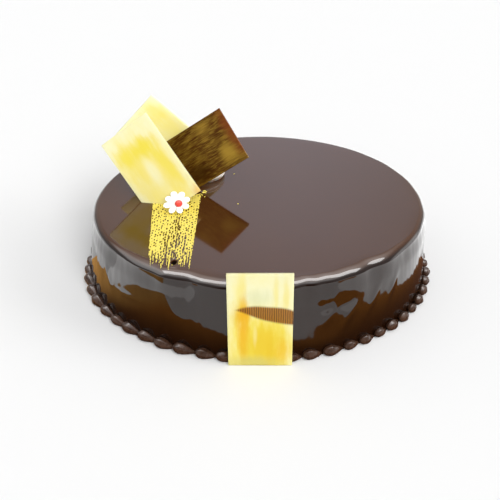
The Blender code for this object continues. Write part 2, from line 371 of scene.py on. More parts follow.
def grain_group():
    """Uneven tone and fine relief of set chocolate: a mask, a roughness and a relief height."""
    tree, given, result = new_group("set_chocolate_grain", ("Patch size", "Grain size", "Smooth", "Rough"),
                                    ("Patch", "Roughness", "Relief"))
    place = object_place(tree)
    patch = add_noise(tree, place, add_math(tree, "DIVIDE", 1.0, given["Patch size"]), 3.0, 0.55)
    grain = add_noise(tree, place, add_math(tree, "DIVIDE", 1.0, given["Grain size"]), 4.0, 0.6)
    spread = add_node(tree, "ShaderNodeMapRange", Value=patch, From_Min=0.3, From_Max=0.7,
                      To_Min=given["Smooth"], To_Max=given["Rough"])
    tree.links.new(patch, result["Patch"])
    tree.links.new(spread.outputs["Result"], result["Roughness"])
    tree.links.new(grain, result["Relief"])
    return tree


GRAIN = grain_group()


def add_grain(tree, shader, patch_size, grain_size, smooth, rough, relief):
    """Places the grain in a material, drives its roughness and relief, and returns the patch mask."""
    grain = add_node(tree, "ShaderNodeGroup", node_tree=GRAIN)
    for socket, value in zip(grain.inputs, (patch_size, grain_size, smooth, rough)):
        socket.default_value = value
    bump = add_node(tree, "ShaderNodeBump", Strength=1.0, Distance=relief, Height=grain.outputs["Relief"])
    tree.links.new(grain.outputs["Roughness"], shader.inputs["Roughness"])
    tree.links.new(bump.outputs["Normal"], shader.inputs["Normal"])
    return grain.outputs["Patch"]


def glaze_material():
    """Mirror glaze: deep brown on the side, and a lighter, warmer brown on top that is painted light for the
    strong light falling on the top.
    """
    material, tree, shader = new_material("mirror_glaze", IOR=1.5)
    patch = add_grain(tree, shader, *GLAZE_GRAIN)
    # Painted light: above the rim the lighter top browns take over from the side browns.
    height = smooth_range(tree, split(tree, object_place(tree))["Z"], CAKE_TOP - 2.0 * MM,
                          CAKE_TOP - 0.1 * MM, 0.0, 1.0)
    colour = add_mix(tree, height, add_mix(tree, patch, *SIDE_BROWNS), add_mix(tree, patch, *LIT_TOP_BROWNS))
    tree.links.new(colour, shader.inputs["Base Color"])
    return material


# The pit's material is painted shade: a dark brown standing in for the shade inside the hole.
PIT_SHADE = new_material("pit_shade", Base_Color=PIT_SHADE_BROWN, Roughness=0.9, Specular_IOR_Level=0.1)[0]
new_piece("cake_glaze", glazed_cake(), [glaze_material(), PIT_SHADE], ["cake"])


# ----------------------------------------------------------------------
# The piped rope round the foot. Stiff chocolate is pressed from a bag in short pushes, so each
# teardrop swells to a round head and is dragged into a tail that the next head covers. One
# teardrop is a ball drawn out to that shape, set round the foot with its own size and twist.
BEAD_COUNT = 58
BEAD_START = math.radians(-127.5)
BEAD_SEED = 11
BEAD_HEAD = 2.85 * MM
BEAD_LENGTH = 12.8 * MM
BEAD_HEAD_SHARE = 0.36
BEAD_SWELL = 0.09
BEAD_SWELL_AT = math.radians(215.0)
BEAD_UNEVEN = 0.08
BEAD_SINK = 0.86
BEAD_STATIONS = 22
BEAD_ROUND_STEPS = 24
BEAD_RIDGES = 6
BEAD_RIDGE_DEPTH = 0.055
ROPE_RADIUS = FOOT_RADIUS - 0.2 * MM
ROPE_BROWNS = ((0.010, 0.0040, 0.0018), (0.080, 0.0370, 0.0210))
ROPE_GRAIN = (3.0 * MM, 0.8 * MM, 0.22, 0.34, 0.03 * MM)
FRONT_BACK_Y = -107.4 * MM
FRONT_HALF_WIDTH = 19.5 * MM


def bead_radius(share):
    """Radius of a teardrop of unit head along its length: a round head, then a long taper."""
    if share < BEAD_HEAD_SHARE:
        return math.sqrt(max(1.0 - (1.0 - share / BEAD_HEAD_SHARE) ** 2, 0.0))
    along = (share - BEAD_HEAD_SHARE) / (1.0 - BEAD_HEAD_SHARE)
    return (1.0 - along ** 1.9) * (1.0 - 0.3 * along)


def ball_mesh():
    """The plain ball that every teardrop is drawn out from."""
    bm = bmesh.new()
    bmesh.ops.create_uvsphere(bm, u_segments=BEAD_ROUND_STEPS, v_segments=BEAD_STATIONS, radius=1.0)
    mesh = bpy.data.meshes.new("ball")
    bm.to_mesh(mesh)
    bm.free()
    return mesh


def add_bead(bm, ball, angle, size, rng):
    """Adds one teardrop with its head at an angle round the cake and its tail following."""
    head = BEAD_HEAD * size
    length = BEAD_LENGTH * size * rng.uniform(0.94, 1.06)
    twist = rng.uniform(0.0, math.tau)
    stray = rng.uniform(-0.25, 0.25) * MM
    before = len(bm.verts)
    bm.from_mesh(ball)
    for vertex in bm.verts[before:]:
        share = 0.5 + 0.5 * vertex.co.z
        turn = math.atan2(vertex.co.y, vertex.co.x)
        tail = smooth_share(share, 0.3, 1.0)
        ridge = 1.0 + BEAD_RIDGE_DEPTH * math.cos(BEAD_RIDGES * turn + twist + 2.0 * share)
        radius = head * bead_radius(share) * ridge
        distance = ROPE_RADIUS + stray + (0.62 - 0.50 * tail) * head + radius * math.cos(turn)
        height = (BEAD_SINK - 0.50 * tail) * head + radius * math.sin(turn)
        place = angle + (share - BEAD_HEAD_SHARE) * length / ROPE_RADIUS
        distance += FOOT_SHIFT * math.cos(place) ** 3
        x, y = distance * math.cos(place), distance * math.sin(place)
        if abs(x) < FRONT_HALF_WIDTH:
            y = max(y, FRONT_BACK_Y + 0.2 * MM + 0.1 * height)
        vertex.co = Vector((x, y, max(height, 0.02 * MM)))


def piped_rope():
    rng = random.Random(BEAD_SEED)
    sizes = []
    for k in range(BEAD_COUNT):
        angle = BEAD_START + math.tau * k / BEAD_COUNT
        swell = BEAD_SWELL * math.cos(angle - BEAD_SWELL_AT)
        sizes.append(1.0 + swell + rng.uniform(-BEAD_UNEVEN, BEAD_UNEVEN))
    pitch = math.tau / sum(sizes)
    bm = bmesh.new()
    ball = ball_mesh()
    angle = BEAD_START
    for size in sizes:
        add_bead(bm, ball, angle, size, rng)
        angle += size * pitch
    bpy.data.meshes.remove(ball)
    bmesh.ops.recalc_face_normals(bm, faces=bm.faces)
    return bm


def two_tone_material(name, tones, grain, **values):
    """A material whose grain mixes two tones."""
    material, tree, shader = new_material(name, **values)
    colour = add_mix(tree, add_grain(tree, shader, *grain), *tones)
    tree.links.new(colour, shader.inputs["Base Color"])
    return material


PIPED_CHOCOLATE = two_tone_material("piped_chocolate", ROPE_BROWNS, ROPE_GRAIN, IOR=1.46)
new_piece("piped_rope", piped_rope(), [PIPED_CHOCOLATE], ["piped_border"])


# ----------------------------------------------------------------------
# The pale plaques on top. White chocolate is spread thin over a sheet brushed with yellow colour,
# cut into rectangles and snapped apart, so the faces are nearly flat and the edges crisp. Each is
# a plate on a fine grid with softened edges and a slight warp, pushed into the cake by a corner.
PLAQUE_WIDTH = 35.2 * MM
PLAQUE_LENGTH = 57.5 * MM
PLAQUE_THICKNESS = 2.0 * MM
PLAQUE_EDGE = 0.22 * MM
PLAQUE_WARP = 0.18 * MM
PLAQUE_WARP_LENGTH = 26.0 * MM
PLAQUE_GRID = 1.6 * MM
LEFT_CENTRE = Vector((-65.7, 2.8, 20.4)) * MM
LEFT_ANGLES = (-38.9, -17.0, -11.2)
BACK_CENTRE = Vector((-58.4, 42.2, 19.6)) * MM
BACK_ANGLES = (-47.1, -1.8, 2.5)
PALE_GRAIN = (9.0 * MM, 1.4 * MM, 0.34, 0.46, 0.012 * MM)
PATCH_STREAKS = (9.0, 3.5, 0.0, 0.6)
PATCH_SOFTNESS = 0.85
PATCH_FEATHER = 0.7


def plaque_pose(centre, angles):
    """Place of a plate on the cake: rolled in its plane, leaned back, turned, then moved."""
    roll, lean, turn = (math.radians(angle) for angle in angles)
    place = centre + Vector((0.0, 0.0, CAKE_TOP))
    return Matrix.Translation(place) @ Euler((lean, roll, turn), "YXZ").to_matrix().to_4x4()


def plaque_plate(pose, seed, foot_width=PLAQUE_WIDTH, top_width=PLAQUE_WIDTH, length=PLAQUE_LENGTH):
    """A thin plate with crisp softened edges; its UV map runs 0 to 1 across and up the face."""
    bm = bmesh.new()
    bmesh.ops.create_cube(bm, size=1.0)
    for axis, span in ((0, foot_width), (2, length)):
        across = [e for e in bm.edges if abs(e.verts[0].co[axis] - e.verts[1].co[axis]) > 0.5]
        bmesh.ops.subdivide_edges(bm, edges=across, cuts=round(span / PLAQUE_GRID), use_grid_fill=True)
    sharp = [e for e in bm.edges if e.calc_face_angle(0.0) > 1.0]
    for vertex in bm.verts:
        share = vertex.co.z + 0.5
        vertex.co.x *= foot_width + (top_width - foot_width) * share
        vertex.co.y *= PLAQUE_THICKNESS
        vertex.co.z *= length
    bmesh.ops.bevel(bm, geom=sharp, offset=PLAQUE_EDGE, offset_type="OFFSET", affect="EDGES",
                    segments=2, profile=0.5, material=-1)
    layer = bm.loops.layers.uv.new("face")
    for face in bm.faces:
        for loop in face.loops:
            x, _, z = loop.vert.co
            loop[layer].uv = (x / PLAQUE_WIDTH + 0.5, z / length + 0.5)
    for vertex in bm.verts:
        place = Vector((vertex.co.x, seed * PLAQUE_LENGTH, vertex.co.z)) / PLAQUE_WARP_LENGTH
        vertex.co.y += PLAQUE_WARP * noise.noise(place)
    bmesh.ops.transform(bm, matrix=pose, verts=bm.verts)
    return bm


def face_place(tree):
    """Where a point lies on a plaque's face: 0 to 1 across and up."""
    return add_node(tree, "ShaderNodeUVMap", uv_map="face").outputs["UV"]


def add_streaks(tree, across, along, turn, roughness):
    """Noise drawn out into streaks, so many across and so many along a plaque's face."""
    stretched = add_node(tree, "ShaderNodeMapping", Vector=face_place(tree), Scale=(across, along, 1.0),
                         Rotation=(0.0, 0.0, math.radians(turn)))
    return add_noise(tree, stretched.outputs["Vector"], 1.0, 3.0, roughness)


def patch_group():
    """A soft brushed patch on a plaque's face: an ellipse with a feathered, streaky edge."""
    names = ("Centre across", "Centre up", "Half width", "Half height", "Turn", "Softness", "Feather")
    tree, given, result = new_group("brushed_patch", names, ("Patch",))
    place = face_place(tree)
    centre = add_node(tree, "ShaderNodeCombineXYZ", X=given["Centre across"], Y=given["Centre up"])
    size = add_node(tree, "ShaderNodeCombineXYZ", X=given["Half width"], Y=given["Half height"], Z=1.0)
    away = add_math(tree, "SUBTRACT", place, centre.outputs["Vector"], "ShaderNodeVectorMath")
    away = add_node(tree, "ShaderNodeVectorRotate", rotation_type="Z_AXIS", Vector=away, Angle=given["Turn"])
    away = add_math(tree, "DIVIDE", away.outputs["Vector"], size.outputs["Vector"], "ShaderNodeVectorMath")
    distance = add_node(tree, "ShaderNodeVectorMath", operation="LENGTH", Vector=away).outputs["Value"]
    uneven = add_math(tree, "SUBTRACT", add_streaks(tree, *PATCH_STREAKS), 0.5)
    uneven = add_math(tree, "MULTIPLY", uneven, given["Feather"])
    inside = add_math(tree, "SUBTRACT", 1.0, given["Softness"])
    patch = smooth_range(tree, add_math(tree, "ADD", distance, uneven), inside, 1.0, 1.0, 0.0)
    tree.links.new(patch, result["Patch"])
    return tree


PATCH = patch_group()


def paint_patch(tree, under, colour, centre, half, strength, turn=0.0):
    """Brushes one patch of colour over what is already on the plaque and returns the result."""
    patch = add_node(tree, "ShaderNodeGroup", node_tree=PATCH)
    values = (*centre, *half, math.radians(turn), PATCH_SOFTNESS, PATCH_FEATHER)
    for socket, value in zip(patch.inputs, values):
        socket.default_value = value
    return add_mix(tree, add_math(tree, "MULTIPLY", patch.outputs["Patch"], strength), under, colour)


PALE_CREAM = (0.88, 0.82, 0.38)
PALE_WHITE = (0.90, 0.89, 0.66)
PALE_YELLOW = (0.87, 0.73, 0.13)
DEEP_YELLOW = (0.80, 0.56, 0.027)
LEMON_YELLOW = (0.85, 0.71, 0.060)
ORANGE_YELLOW = (0.83, 0.46, 0.012)
PALE_GLOW_DEPTH = (1.0, 0.92, 0.60)


def paint_over(material, brush, coats):
    """Lays coats of colour over a material, each mixed in by one call of the brush function."""
    tree = material.node_tree
    colour = tree.nodes["Principled BSDF"].inputs["Base Color"]
    for coat in coats:
        tree.links.new(brush(tree, colour.links[0].from_socket, *coat), colour)
    return material


def pale_material(name, painted_light, patches):
    """Pale chocolate, painted with patches: colour, centre, half sizes, strength, perhaps a turn. All its
    colours are scaled by painted light, which brightens or dims each plaque for the light it gets.
    """
    pale = two_tone_material(name, (Vector(PALE_CREAM) * painted_light, Vector(PALE_WHITE) * painted_light), PALE_GRAIN,
                             Specular_IOR_Level=0.25, Subsurface_Weight=0.3, Subsurface_Scale=0.9 * MM,
                             Subsurface_Radius=PALE_GLOW_DEPTH)
    return paint_over(pale, paint_patch, [(Vector(tint) * painted_light, *brushed) for tint, *brushed in patches])


# Painted light: the same pale chocolate is made lighter on the back plaque, which stands in the shade of the
# others, and darker on the left and front plaques, which take the strongest light.
LEFT_PAINTED_LIGHT = 0.88
BACK_PAINTED_LIGHT = 1.06
LEFT_PATCHES = (
    (PALE_YELLOW, (0.40, 0.66), (0.62, 0.36), 0.70),
    (PALE_YELLOW, (0.74, 0.40), (0.30, 0.56), 0.75),
    (PALE_YELLOW, (0.28, 0.36), (0.34, 0.50), 0.60),
    (PALE_YELLOW, (0.55, 0.12), (0.60, 0.34), 0.45),
    (LEMON_YELLOW, (0.60, 0.72), (0.34, 0.18), 0.90),
    (LEMON_YELLOW, (0.24, 0.74), (0.28, 0.18), 0.75),
    (LEMON_YELLOW, (0.78, 0.46), (0.15, 0.42), 0.60, -6.0),
    (PALE_WHITE, (0.50, 0.46), (0.14, 0.26), 0.55),
    (ORANGE_YELLOW, (0.97, 0.02), (0.14, 0.12), 0.60),
)
BACK_PATCHES = (
    (PALE_YELLOW, (0.72, 0.58), (0.50, 0.56), 0.50),
    (LEMON_YELLOW, (0.82, 0.84), (0.30, 0.18), 0.35),
    (LEMON_YELLOW, (0.80, 0.60), (0.22, 0.30), 0.25),
)
left_plate = plaque_plate(plaque_pose(LEFT_CENTRE, LEFT_ANGLES), 1)
left_paint = pale_material("left_plaque_paint", LEFT_PAINTED_LIGHT, LEFT_PATCHES)
new_piece("left_plate", left_plate, [left_paint], ["left_plaque"])
back_plate = plaque_plate(plaque_pose(BACK_CENTRE, BACK_ANGLES), 2)
back_paint = pale_material("back_plaque_paint", BACK_PAINTED_LIGHT, BACK_PATCHES)
new_piece("back_plate", back_plate, [back_paint], ["back_plaque"])


# ----------------------------------------------------------------------
# The front plaque leans on the rim. Its face is brushed lengthwise with yellow, its head is left
# nearly white, and a comb dragged milk chocolate over it in one pointed, finely ribbed mark.
FRONT_FOOT_WIDTH = 34.8 * MM
FRONT_TOP_WIDTH = 35.9 * MM
FRONT_LENGTH = 54.6 * MM
FRONT_X = 0.6 * MM
FRONT_LEAN = math.asin((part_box("front_plaque")[1][1] - FRONT_BACK_Y) / FRONT_LENGTH)
# Edges of the combed mark, as shares across and up the face.
MARK_UPPER_EDGE = ((0.13, 0.615), (0.31, 0.650), (0.63, 0.648), (0.95, 0.622), (1.0, 0.607))
MARK_LOWER_EDGE = ((0.13, 0.615), (0.31, 0.568), (0.49, 0.520), (0.68, 0.487), (0.90, 0.462), (1.0, 0.455))
MARK_EDGE_SOFTNESS = 0.016
MARK_RIB = 1.2 * MM
MARK_DARK = (0.09, 0.026, 0.001)
MARK_LIGHT = (0.33, 0.125, 0.003)
MARK_STRENGTH = 0.96
GREYISH = (0.74, 0.75, 0.46)
# Painted shade: a darker olive band along the foot, where the plaque stands on the rim.
FOOT_SHADE_OLIVE = (0.68, 0.60, 0.16)
# Painted light: the front plaque's chocolate is darkened for the strong light it takes.
FRONT_PAINTED_LIGHT = 0.79
FRONT_PATCHES = (
    (PALE_YELLOW, (0.50, 0.22), (0.85, 0.62), 1.00),
    (LEMON_YELLOW, (0.55, 0.20), (0.66, 0.56), 0.80),
    (PALE_YELLOW, (0.20, 0.80), (0.14, 0.36), 0.60),
    (PALE_YELLOW, (0.74, 0.78), (0.07, 0.28), 0.50),
    (PALE_YELLOW, (0.90, 0.78), (0.07, 0.28), 0.45),
    (GREYISH, (0.47, 0.74), (0.34, 0.15), 0.75),
    (DEEP_YELLOW, (0.20, 0.56), (0.18, 0.22), 0.80),
    (ORANGE_YELLOW, (0.245, 0.38), (0.13, 0.52), 0.95),
    (ORANGE_YELLOW, (0.25, 0.56), (0.16, 0.11), 0.90),
    (DEEP_YELLOW, (0.55, 0.24), (0.45, 0.34), 0.85),
    (DEEP_YELLOW, (0.64, 0.16), (0.10, 0.34), 0.90),
    (ORANGE_YELLOW, (0.84, 0.16), (0.18, 0.20), 0.50),
    (PALE_CREAM, (0.42, 0.34), (0.05, 0.18), 0.45),
    # Painted shade along the foot of the plaque.
    (FOOT_SHADE_OLIVE, (0.40, 0.02), (0.60, 0.13), 0.85),
)


def front_pose():
    up = Vector((0.0, math.sin(FRONT_LEAN), math.cos(FRONT_LEAN)))
    out = Vector((0.0, -math.cos(FRONT_LEAN), math.sin(FRONT_LEAN)))
    foot = Vector((FRONT_X, FRONT_BACK_Y, 0.0))
    place = foot + 0.5 * FRONT_LENGTH * up + 0.5 * PLAQUE_THICKNESS * out
    return Matrix.Translation(place) @ Matrix.Rotation(-FRONT_LEAN, 4, "X")


def edge_curve(tree, across, points):
    """Height of one edge of the combed mark as a smooth curve across the plaque."""
    node = add_node(tree, "ShaderNodeFloatCurve", Value=across)
    curve = node.mapping.curves[0]
    curve.points[0].location = points[0]
    curve.points[1].location = points[-1]
    for point in points[1:-1]:
        curve.points.new(*point)
    node.mapping.update()
    return node.outputs["Value"]


def above(tree, value, edge):
    """0 below an edge of the mark and 1 above it, eased over the edge's softness."""
    past = add_math(tree, "SUBTRACT", value, edge)
    return smooth_range(tree, past, -MARK_EDGE_SOFTNESS, MARK_EDGE_SOFTNESS, 0.0, 1.0)


def add_mark(tree, under):
    """Drags the combed mark over a colour, between its two edges."""
    place = face_place(tree)
    parts = split(tree, place)
    upper = edge_curve(tree, parts["X"], MARK_UPPER_EDGE)
    lower = edge_curve(tree, parts["X"], MARK_LOWER_EDGE)
    mark = add_math(tree, "MULTIPLY", above(tree, upper, parts["Y"]), above(tree, parts["Y"], lower))
    mark = add_math(tree, "MULTIPLY", mark, MARK_STRENGTH)
    ribs = add_node(tree, "ShaderNodeTexWave", Vector=place, Scale=0.1 * math.pi * PLAQUE_WIDTH / MARK_RIB,
                    Distortion=1.6, Detail=2.0, Detail_Scale=1.5)
    return add_mix(tree, mark, under, add_mix(tree, ribs.outputs["Fac"], MARK_DARK, MARK_LIGHT))


front_plate = plaque_plate(front_pose(), 3, FRONT_FOOT_WIDTH, FRONT_TOP_WIDTH, FRONT_LENGTH)
front_paint = paint_over(pale_material("front_plaque_paint", FRONT_PAINTED_LIGHT, FRONT_PATCHES), add_mark, [()])
new_piece("front_plate", front_plate, [front_paint], ["front_plaque"])


# ----------------------------------------------------------------------
# The dark plaque: the same cut plate in dark chocolate, rubbed lengthwise with gold colour that
# catches on the high places and leaves the right-hand end bare and reddish.
DARK_CENTRE = Vector((-38.7, 19.5, 20.8)) * MM
DARK_ANGLES = (54.0, -14.8, -14.4)
DARK_GRAIN = (9.0 * MM, 1.0 * MM, 0.30, 0.46, 0.02 * MM)
DARK_BROWN = (0.050, 0.015, 0.0015)
MID_BROWN = (0.12, 0.045, 0.005)
RED_BROWN = (0.22, 0.052, 0.012)
GOLD = (0.44, 0.27, 0.035)
RUB_TURN = -9.0
# Each rub of gold: streaks across and along the plaque, where it starts and is full, strength.
DARK_RUBS = ((11.0, 3.4, 0.40, 0.72, 0.44), (44.0, 10.0, 0.44, 0.70, 0.46))
DARK_PATCHES = (
    (GOLD, (0.72, 0.84), (0.26, 0.15), 0.75),
    (GOLD, (0.14, 0.72), (0.16, 0.14), 0.45),
    (DARK_BROWN, (0.80, 0.42), (0.26, 0.26), 0.80),
    (DARK_BROWN, (0.22, 0.30), (0.20, 0.14), 0.50),
    (RED_BROWN, (0.40, 1.0), (0.75, 0.13), 0.80),
)


def add_rub(tree, under, across, along, low, high, strength):
    """Rubs gold over a colour in streaks of the given number across and along the plaque."""
    streaks = add_streaks(tree, across, along, RUB_TURN, 0.55)
    return add_mix(tree, smooth_range(tree, streaks, low, high, 0.0, strength), under, GOLD)


dark_plate = plaque_plate(plaque_pose(DARK_CENTRE, DARK_ANGLES), 4)
gilded = two_tone_material("gilded_dark_chocolate", (DARK_BROWN, MID_BROWN), DARK_GRAIN, Metallic=0.5,
                           Specular_IOR_Level=0.15)
paint_over(gilded, add_rub, DARK_RUBS)
paint_over(gilded, paint_patch, DARK_PATCHES)
new_piece("dark_plate", dark_plate, [gilded], ["dark_plaque"])


# ----------------------------------------------------------------------
# The dollop of cream behind the dark plaque, dropped from a round nozzle. It is turned from a
# soft mound, given a lazy swirl that ends in a low peak, and set on the glaze.
CREAM_X = -35.4 * MM
CREAM_Y = 37.0 * MM
CREAM_RADIUS = 13.4 * MM
CREAM_FOOT = 12.6 * MM
CREAM_HEIGHT = 11.0 * MM
CREAM_TURN_STEPS = 72
CREAM_SIDE_STEPS = 22
CREAM_SWIRL = 0.045
CREAM_TONES = ((0.90, 0.76, 0.64), (0.96, 0.86, 0.76))
CREAM_GRAIN = (4.0 * MM, 0.7 * MM, 0.35, 0.55, 0.02 * MM)
CREAM_GLOW_DEPTH = (1.0, 0.85, 0.75)


def cream_mound():
    bm = bmesh.new()
    bmesh.ops.create_circle(bm, segments=4 * CREAM_SIDE_STEPS, radius=1.0)
    bmesh.ops.rotate(bm, verts=bm.verts, cent=(0, 0, 0), matrix=Matrix.Rotation(0.5 * math.pi, 3, "X"))
    outside = [v for v in bm.verts if v.co.x < -0.001 or v.co.z < -0.001]
    bmesh.ops.delete(bm, geom=outside, context="VERTS")
    for vertex in bm.verts:
        vertex.co.x = CREAM_RADIUS * max(vertex.co.x, 0.0) ** 0.85
        vertex.co.z = CREAM_HEIGHT * (0.18 + 0.82 * vertex.co.z)
    widest = max(bm.verts, key=lambda v: v.co.x)
    foot = bm.verts.new((CREAM_FOOT, 0.0, 0.0))
    middle = bm.verts.new((0.0, 0.0, 0.0))
    bm.edges.new((widest, foot))
    bm.edges.new((foot, middle))
    turned(bm, CREAM_TURN_STEPS)
    for vertex in bm.verts:
        x, y, z = vertex.co
        share = z / CREAM_HEIGHT
        turn = math.atan2(y, x) + 5.0 * share
        swirl = 1.0 + CREAM_SWIRL * math.sin(3.0 * turn) * smooth_share(share, 0.0, 0.3)
        vertex.co.x *= swirl
        vertex.co.y *= swirl
    bmesh.ops.translate(bm, verts=bm.verts, vec=(CREAM_X, CREAM_Y, CAKE_TOP))
    return bm


WHIPPED_CREAM = two_tone_material("whipped_cream", CREAM_TONES, CREAM_GRAIN, IOR=1.4, Subsurface_Weight=1.0,
                                  Subsurface_Scale=4.0 * MM, Subsurface_Radius=CREAM_GLOW_DEPTH)
new_piece("cream_mound", cream_mound(), [WHIPPED_CREAM], ["cream_dollop"])


# ----------------------------------------------------------------------
# The sugar daisy at the foot of the left plaque: pressed from white sugar paste in a mould, with
# eight round petals that cup a little, and a red sugar button stuck in its middle.
DAISY_RADIUS = 8.3 * MM
DAISY_PETALS = 8
DAISY_TILT = math.radians(31.0)
DAISY_SPIN = math.radians(19.0)
PETAL_ROOT = 0.8 * MM
PETAL_WIDTH = 4.5 * MM
PETAL_THICKNESS = 1.5 * MM
PETAL_CUP = 0.9 * MM
PETAL_GROOVE = 0.30 * MM
BUTTON_RADIUS = 2.3 * MM
BUTTON_HEIGHT = 1.3 * MM
BUTTON_OFFSET = Vector((1.2, -0.9, 1.5)) * MM
DAISY_SEED = 5
WHITE_TONES = ((0.88, 0.87, 0.84), (0.95, 0.94, 0.92))
RED_TONES = ((0.62, 0.045, 0.032), (0.78, 0.075, 0.050))
SUGAR_GRAIN = (2.0 * MM, 0.4 * MM, 0.4, 0.6, 0.02 * MM)
SUGAR_GLOW = {"IOR": 1.45, "Subsurface_Weight": 0.1, "Subsurface_Scale": 0.6 * MM,
              "Subsurface_Radius": (1.0, 1.0, 1.0)}


def daisy_pose():
    low, high = (Vector(corner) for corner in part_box("daisy"))
    shift = Vector((0.0, -0.6, -0.9)) * MM
    return Matrix.Translation(0.5 * (low + high) + shift) @ Matrix.Rotation(DAISY_TILT, 4, "X")


def daisy_flower(rng):
    bm = bmesh.new()
    for k in range(DAISY_PETALS):
        petal = bmesh.ops.create_uvsphere(bm, u_segments=24, v_segments=16, radius=1.0)["verts"]
        reach = DAISY_RADIUS * rng.uniform(0.94, 1.02)
        width = PETAL_WIDTH * rng.uniform(0.93, 1.05)
        for vertex in petal:
            x, y, z = vertex.co
            along = 0.5 + 0.5 * x
            taper = (0.42 + 0.58 * smooth_share(along, 0.0, 0.8)) * (1.0 + 0.16 * x * x)
            up = 0.5 * PETAL_THICKNESS * (1.0 + z) * (0.8 + 0.2 * along)
            up += PETAL_CUP * (0.6 * along ** 2 + 0.6 * y * y * along)
            up -= PETAL_GROOVE * bell(y / 0.25) * max(z, 0.0)
            vertex.co = Vector((PETAL_ROOT + (reach - PETAL_ROOT) * along, 0.5 * width * y * taper, up))
        turn = Matrix.Rotation(DAISY_SPIN + math.tau * k / DAISY_PETALS, 3, "Z")
        bmesh.ops.rotate(bm, verts=petal, cent=(0, 0, 0), matrix=turn)
    bmesh.ops.transform(bm, matrix=daisy_pose(), verts=bm.verts)
    return bm


def daisy_button():
    bm = bmesh.new()
    bmesh.ops.create_uvsphere(bm, u_segments=32, v_segments=20, radius=BUTTON_RADIUS)
    for vertex in bm.verts:
        vertex.co.z *= BUTTON_HEIGHT / BUTTON_RADIUS
        vertex.co += vertex.co.normalized() * 0.12 * MM * noise.noise(vertex.co / (1.4 * MM))
    bmesh.ops.translate(bm, verts=bm.verts, vec=BUTTON_OFFSET)
    bmesh.ops.transform(bm, matrix=daisy_pose(), verts=bm.verts)
    return bm


WHITE_SUGAR = two_tone_material("white_sugar", WHITE_TONES, SUGAR_GRAIN, **SUGAR_GLOW)
RED_SUGAR = two_tone_material("red_sugar", RED_TONES, SUGAR_GRAIN, **SUGAR_GLOW)
new_piece("sugar_daisy", daisy_flower(random.Random(DAISY_SEED)), [WHITE_SUGAR], ["daisy"])
new_piece("sugar_button", daisy_button(), [RED_SUGAR], ["daisy_button"])


# ----------------------------------------------------------------------
# The dry-brush stroke: yellow colour dragged over the set glaze with a stiff brush, from behind
# the left plaque to the rim. It is a thin film on a fine grid; the flecks that the bristles
# missed and the gaps between the last fingers are cut out of it.
STROKE_BACK_LEFT = Vector((-65.6, -2.0)) * MM
STROKE_BACK_RIGHT = Vector((-35.2, 9.0)) * MM
STROKE_FRONT_LEFT = Vector((-61.5, -83.0)) * MM
STROKE_FRONT_RIGHT = Vector((-37.6, -87.0)) * MM
STROKE_CELL = 0.26 * MM
STROKE_FILM = 0.16 * MM
STROKE_YELLOWS = ((0.82, 0.64, 0.075), (0.88, 0.75, 0.14))
STROKE_GRAIN = (6.0 * MM, 0.7 * MM, 0.34, 0.48, 0.015 * MM)
STROKE_EDGE = 0.015
STROKE_EDGE_WANDER = 0.012
# The brush left no colour out to this share of the pit's half size.
PIT_BARE_SHARE = 1.3
# Worn bands where the bristles ran dry: place across the stroke, half width, where each starts.
STROKE_WORN_BANDS = ((0.40, 0.09, 0.30), (0.60, 0.09, 0.10), (0.79, 0.06, 0.40), (0.18, 0.04, 0.70))
FINGER_START = 0.76
FINGER_END = 0.96
FINGER_SPREAD = 0.10
SKIP_PITCH = Vector((1.6, 3.3)) * MM
SKIP_HALF = Vector((0.42, 0.95)) * MM


def stroke_point(across, along):
    left = STROKE_BACK_LEFT.lerp(STROKE_FRONT_LEFT, along)
    right = STROKE_BACK_RIGHT.lerp(STROKE_FRONT_RIGHT, along)
    return left.lerp(right, across)


def unevenness(x, y, layer):
    return noise.noise(Vector((x, y, layer)))


def skipped(x, y, wear):
    """Whether a point lies in one of the small ovals that the bristles skipped."""
    x, y = x / SKIP_PITCH.x, y / SKIP_PITCH.y
    column = math.floor(x)
    y += 0.5 * (column % 2)
    row = math.floor(y)
    dice = noise.cell_vector(Vector((column + 0.5, row + 0.5, 0.5)))
    away_x = (x - column - 0.5 - 0.5 * (dice.x - 0.5)) * SKIP_PITCH.x
    away_y = (y - row - 0.5 - 0.5 * (dice.y - 0.5)) * SKIP_PITCH.y
    half_width = SKIP_HALF.x * (0.2 + 0.9 * dice.z + 0.35 * wear)
    half_length = SKIP_HALF.y * (0.3 + 0.9 * dice.z + 1.1 * wear)
    return math.hypot(away_x / half_width, away_y / half_length) < 1.0


def stroke_covers(across, along, x, y):
    """Whether the brush left colour at a point of the stroke."""
    wander = STROKE_EDGE_WANDER * unevenness(0.0, along * 30.0, 4.0)
    if not STROKE_EDGE <= across - wander <= 1.0 - STROKE_EDGE or pit_share(x, y) < PIT_BARE_SHARE:
        return False
    finger = unevenness(across * 17.0, 0.0, 2.0) + 0.6 * unevenness(across * 41.0, 0.0, 9.0)
    if along > FINGER_END + FINGER_SPREAD * finger:
        return False
    wear = 0.0
    for centre, half_width, start in STROKE_WORN_BANDS:
        wear += bell((across - centre) / half_width) * smooth_share(along, start, start + 0.35)
    if skipped(x, y, wear):
        return False
    bristle = unevenness(x / (0.7 * MM), y / (6.5 * MM), 3.0)
    if bristle > 0.62 - 0.38 * wear - 0.10 * along:
        return False
    gap = unevenness(across * 25.0, along * 1.5, 6.0)
    return not (along > FINGER_START and gap > 0.42 - 3.0 * (along - FINGER_START))


